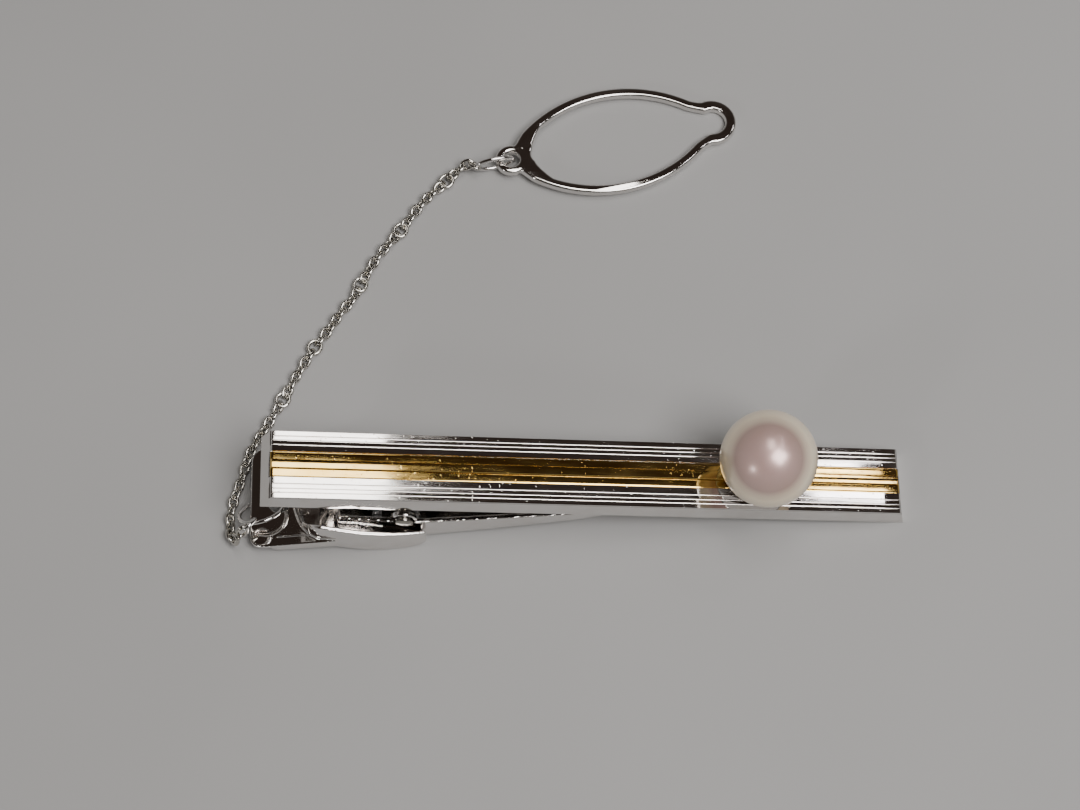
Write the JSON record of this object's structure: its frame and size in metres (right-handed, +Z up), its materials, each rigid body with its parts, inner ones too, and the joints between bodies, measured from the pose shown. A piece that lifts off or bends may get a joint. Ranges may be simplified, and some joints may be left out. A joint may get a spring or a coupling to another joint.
{
  "type": "tie bar",
  "caption": "Ribbed silver tie bar with a gold band and a pearl, a sprung clip beneath it, and a safety chain ending in a flat button loop.",
  "frame": {"origin": "on the table, under the middle of the bar and its clip; the chain and button loop are left out", "axes": "+X along the bar from its clip end to its pearl end, +Y towards the button loop, +Z up"},
  "size_m": [0.0591, 0.0446, 0.0127],
  "materials": {
    "silver": "mirror-polished, rhodium-plated silver",
    "gold": "polished yellow gold",
    "pearl": "lustrous pinkish cream nacre",
    "spring_steel": "bright drawn wire"
  },
  "bodies": {
    "clip": {"thumb_lever": "silver", "jaw_arm": "silver", "hinge_pin": "silver", "torsion_spring": "spring_steel", "safety_chain": "silver"},
    "bar": {"front_bar": "silver", "gold_band": "gold", "pearl": "pearl", "pearl_cup": "silver", "pearl_peg": "silver", "hinge_bracket": "silver"},
    "tail_rings": {"tail_ring": "silver", "connector_ring": "silver"},
    "end_link": {"end_ring": "silver"},
    "loop": {"button_loop": "silver"}
  },
  "joints": [
    {"name": "clip_hinge", "type": "hinge", "parent": "clip", "child": "bar", "pos_m": [-0.0149, 0, 0.0046], "axis": [0, -1, 0], "range_deg": [0, 15], "stiffness_Nm_per_rad": 0.06, "springref_deg": -34.38, "deforming": ["torsion_spring"]},
    {"name": "tail_ring_swing", "type": "hinge", "parent": "clip", "child": "tail_rings", "pos_m": [-0.02731, -0.00063, 0.00126], "axis": [-0.9753, -0.106, -0.1938], "range_deg": [0, 35]},
    {"name": "end_ring_lift", "type": "hinge", "parent": "clip", "child": "end_link", "pos_m": [-0.00837, 0.03191, 0.00123], "axis": [0.1994, -0.9799, 0], "range_deg": [0, 35]},
    {"name": "button_loop_lift", "type": "hinge", "parent": "end_link", "child": "loop", "pos_m": [-0.00657, 0.03228, 0.0007], "axis": [0.1994, -0.9799, 0], "range_deg": [0, 90]}
  ]
}
